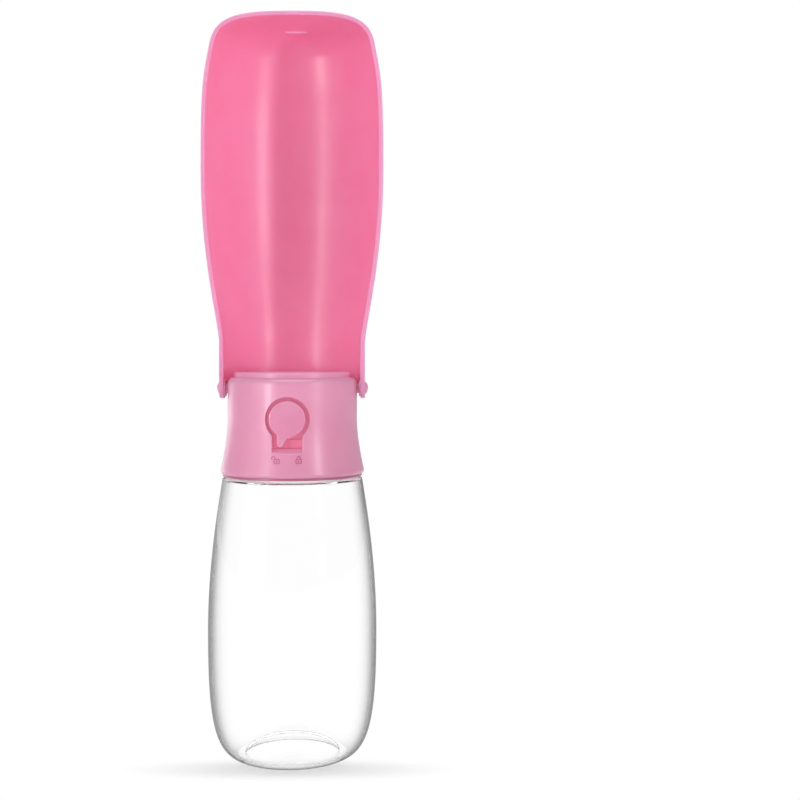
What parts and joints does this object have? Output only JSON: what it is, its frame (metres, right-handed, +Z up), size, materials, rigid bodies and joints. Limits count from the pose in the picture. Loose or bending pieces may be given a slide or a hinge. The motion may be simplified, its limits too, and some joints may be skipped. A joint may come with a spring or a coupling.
{
  "type": "dog travel water bottle",
  "caption": "Clear bottle with a screw-on pink head, a push-and-lock water button and a long trough that folds over the bottle on two side pins.",
  "frame": {"origin": "on the bottle's axis, in the plane of the ring that the bottle stands on", "axes": "+Z up the bottle's axis to the open trough's far end, -Y to the side with the button, +X along the hinge pins"},
  "size_m": [0.0754, 0.0725, 0.3075],
  "materials": {
    "clear_plastic": "clear, smooth",
    "pink_plastic": "smooth, glossy",
    "deep_pink_plastic": "smooth, glossy",
    "white_plastic": "satin",
    "white_rubber": "matt",
    "steel": "bright"
  },
  "bodies": {
    "bottle": {"bottle": "clear_plastic"},
    "head": {"neck_seal": "white_rubber", "neck_insert": "pink_plastic", "head_housing": "pink_plastic", "top_cover": "pink_plastic", "valve_body": "white_plastic", "valve_seat_ring": "white_rubber", "valve_end_cap": "white_plastic", "end_cap_o_ring": "white_rubber", "inlet_seal": "white_rubber", "valve_screws": "steel", "outlet_tube": "white_rubber", "outlet_seal": "white_rubber", "stem_gland": "white_plastic", "gland_o_ring": "white_rubber", "return_spring": "steel", "lock_guide": "deep_pink_plastic", "left_hinge_pin": "pink_plastic", "right_hinge_pin": "pink_plastic"},
    "trough": {"trough": "deep_pink_plastic"},
    "plunger": {"valve_stem": "white_plastic", "valve_plug": "white_rubber", "plug_screw": "steel"},
    "button": {"button_cap": "pink_plastic"}
  },
  "joints": [
    {"name": "head_lift_off", "type": "slide", "parent": "bottle", "child": "head", "axis": [0, 0, 1], "range_m": [0, 0.18]},
    {"name": "trough_fold", "type": "hinge", "parent": "head", "child": "trough", "pos_m": [0, 0, 0.1518], "axis": [1, 0, 0], "range_deg": [0, 180]},
    {"name": "button_press", "type": "slide", "parent": "head", "child": "plunger", "axis": [0, 1, 0], "range_m": [0, 0.0025], "stiffness_N_per_m": 1200, "springref_m": -0.003, "deforming": ["return_spring"]},
    {"name": "lock_turn", "type": "hinge", "parent": "plunger", "child": "button", "pos_m": [0, 0, 0.1399], "axis": [0, -1, 0], "range_deg": [0, 31.8]}
  ]
}
